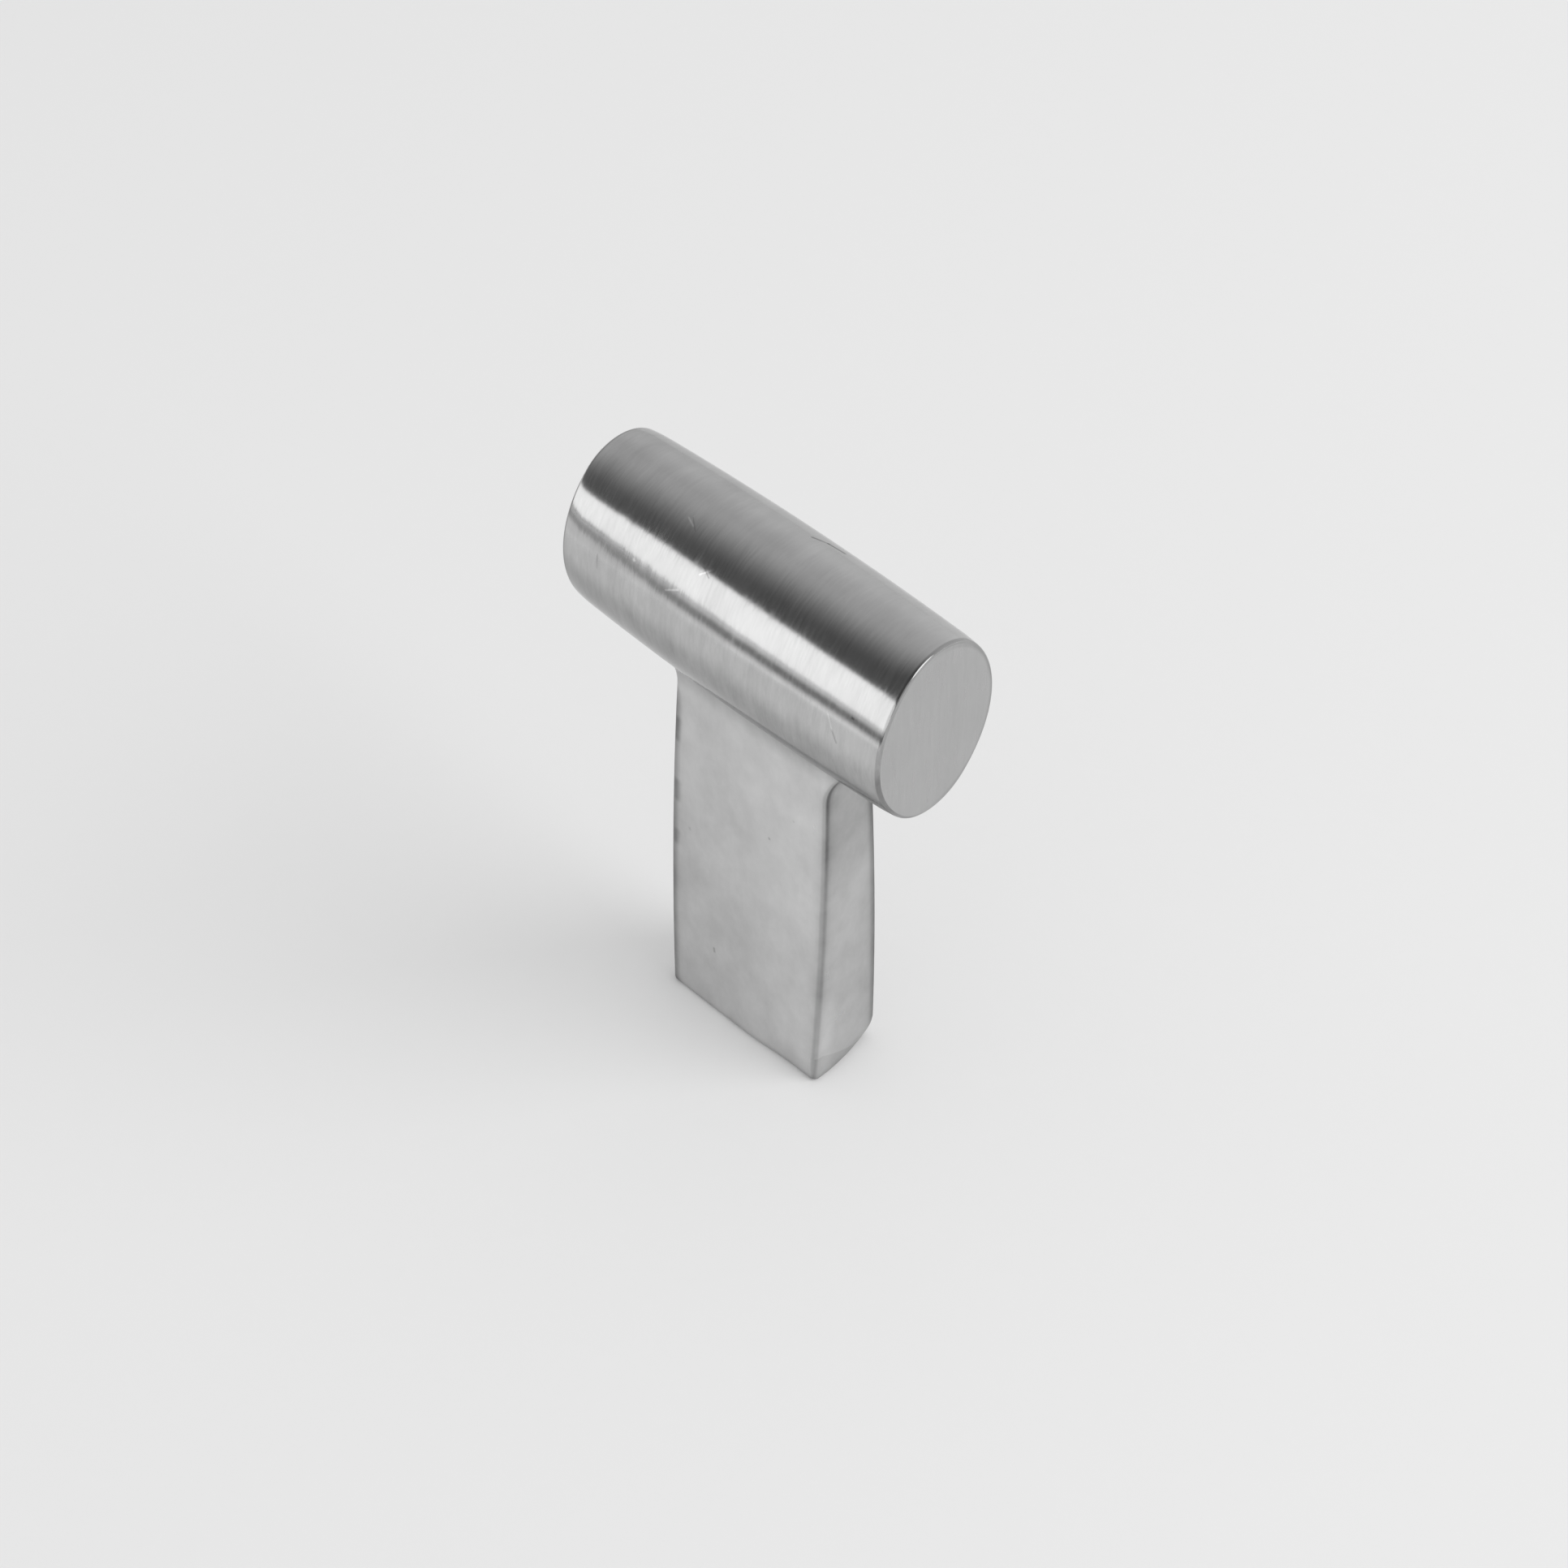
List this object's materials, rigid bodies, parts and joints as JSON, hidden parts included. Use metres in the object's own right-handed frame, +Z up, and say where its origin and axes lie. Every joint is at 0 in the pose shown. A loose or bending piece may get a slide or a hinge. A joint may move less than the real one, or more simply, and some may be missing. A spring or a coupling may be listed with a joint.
{
  "type": "t-shaped cabinet knob",
  "caption": "T-shaped cabinet knob in brushed metal: a crowned oval bar on a flat tapering stem with a tapped hole in its foot.",
  "frame": {"origin": "middle of the foot's face, where the knob meets the cabinet front", "axes": "+Z up the stem, away from the cabinet front; +X along the bar"},
  "size_m": [0.032, 0.0126, 0.0512],
  "materials": {
    "brushed_metal": "satin, brushed round the bar and across its end faces, softly polished on the stem"
  },
  "bodies": {
    "root": {"knob": "brushed_metal"}
  },
  "joints": []
}
